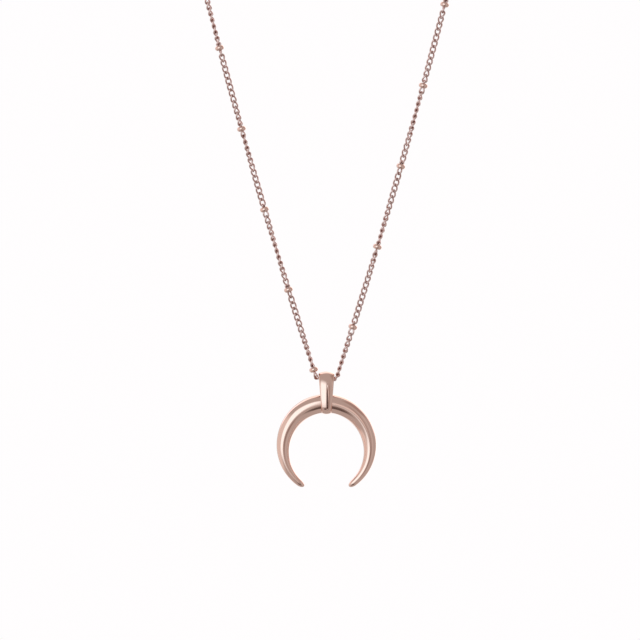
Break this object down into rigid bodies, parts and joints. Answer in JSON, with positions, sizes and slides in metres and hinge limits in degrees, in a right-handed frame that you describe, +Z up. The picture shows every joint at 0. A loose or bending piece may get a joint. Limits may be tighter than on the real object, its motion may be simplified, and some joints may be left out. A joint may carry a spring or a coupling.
{
  "type": "pendant necklace",
  "caption": "Fine rose-gold-coloured curb chain with small rondelle beads, carrying a tapered open horn pendant on a strap bail, with a lobster clasp and a short extender.",
  "frame": {"origin": "under the middle of the clasp's flat back, at the top of the loop, where the necklace hangs on a neck or a form", "axes": "+Z up along the hanging necklace, -Y towards the viewer of the pendant's front, +X to that viewer's right"},
  "size_m": [0.0784, 0.0055, 0.1939],
  "materials": {
    "pendant_gold": "mirror-polished rose gold plate",
    "chain_gold": "polished rose gold plate on fine wire",
    "bead_gold": "polished rose gold plate",
    "findings_gold": "polished rose gold plate",
    "spring_steel": "drawn spring wire"
  },
  "bodies": {
    "clasp_and_ends": {"clasp_body": "findings_gold", "clasp_pin": "findings_gold", "clasp_spring": "spring_steel", "jump_ring_left": "findings_gold", "clasp_ring_right": "findings_gold", "chain_left_end": "chain_gold", "chain_right_end": "chain_gold", "bead_left_9": "bead_gold", "bead_left_10": "bead_gold", "bead_left_11": "bead_gold", "bead_right_8": "bead_gold", "bead_right_9": "bead_gold", "bead_right_10": "bead_gold", "bead_right_11": "bead_gold"},
    "clasp_lever": {"clasp_lever": "findings_gold"},
    "chain_section_5": {"chain_left_5": "chain_gold", "chain_right_5": "chain_gold", "bead_left_7": "bead_gold", "bead_left_8": "bead_gold", "bead_right_7": "bead_gold"},
    "chain_section_4": {"chain_left_4": "chain_gold", "chain_right_4": "chain_gold", "bead_left_6": "bead_gold", "bead_right_5": "bead_gold", "bead_right_6": "bead_gold"},
    "chain_section_3": {"chain_left_3": "chain_gold", "chain_right_3": "chain_gold", "bead_left_4": "bead_gold", "bead_left_5": "bead_gold", "bead_right_4": "bead_gold"},
    "chain_section_2": {"chain_left_2": "chain_gold", "chain_right_2": "chain_gold", "bead_left_3": "bead_gold", "bead_right_2": "bead_gold", "bead_right_3": "bead_gold"},
    "chain_section_1": {"chain_left_1": "chain_gold", "chain_right_1": "chain_gold", "chain_in_bail": "chain_gold", "bead_left_1": "bead_gold", "bead_left_2": "bead_gold", "bead_right_1": "bead_gold"},
    "pendant": {"bail": "pendant_gold", "horn": "pendant_gold"},
    "extender_upper": {"extender_link_1": "findings_gold", "extender_link_2": "findings_gold", "extender_link_3": "findings_gold", "extender_link_4": "findings_gold"},
    "extender_lower": {"extender_link_5": "findings_gold", "extender_link_6": "findings_gold", "extender_link_7": "findings_gold", "extender_link_8": "findings_gold"},
    "extender_drop": {"extender_link_9": "findings_gold", "extender_tag": "findings_gold"}
  },
  "joints": [
    {"name": "chain_fold_5", "type": "hinge", "parent": "clasp_and_ends", "child": "chain_section_5", "pos_m": [0, 0, -0.04551], "axis": [1, 0, 0], "range_deg": [-45, 45]},
    {"name": "chain_fold_4", "type": "hinge", "parent": "chain_section_5", "child": "chain_section_4", "pos_m": [0, 0, -0.07058], "axis": [1, 0, 0], "range_deg": [-45, 45]},
    {"name": "chain_fold_3", "type": "hinge", "parent": "chain_section_4", "child": "chain_section_3", "pos_m": [0, 0, -0.09556], "axis": [1, 0, 0], "range_deg": [-45, 45]},
    {"name": "chain_fold_2", "type": "hinge", "parent": "chain_section_3", "child": "chain_section_2", "pos_m": [0, 0, -0.12044], "axis": [1, 0, 0], "range_deg": [-45, 45]},
    {"name": "chain_fold_1", "type": "hinge", "parent": "chain_section_2", "child": "chain_section_1", "pos_m": [0, 0, -0.14518], "axis": [1, 0, 0], "range_deg": [-45, 45]},
    {"name": "pendant_swing", "type": "hinge", "parent": "chain_section_1", "child": "pendant", "pos_m": [0, 0, -0.16801], "axis": [1, 0, 0], "range_deg": [-135, 135]},
    {"name": "clasp_lever_turn", "type": "hinge", "parent": "clasp_and_ends", "child": "clasp_lever", "pos_m": [-0.0019, -0.00075, 0.00145], "axis": [0, 0, 1], "range_deg": [0, 28], "stiffness_Nm_per_rad": 0.004, "springref_deg": -17.19},
    {"name": "extender_swing", "type": "hinge", "parent": "clasp_and_ends", "child": "extender_upper", "pos_m": [0.00564, 0, -0.00045], "axis": [1, 0, 0], "range_deg": [-80, 80]},
    {"name": "extender_bend", "type": "hinge", "parent": "extender_upper", "child": "extender_lower", "pos_m": [0.00564, 0, -0.01059], "axis": [1, 0, 0], "range_deg": [-90, 90]},
    {"name": "tag_swing", "type": "hinge", "parent": "extender_lower", "child": "extender_drop", "pos_m": [0.00564, 0, -0.02075], "axis": [1, 0, 0], "range_deg": [-90, 90]}
  ]
}
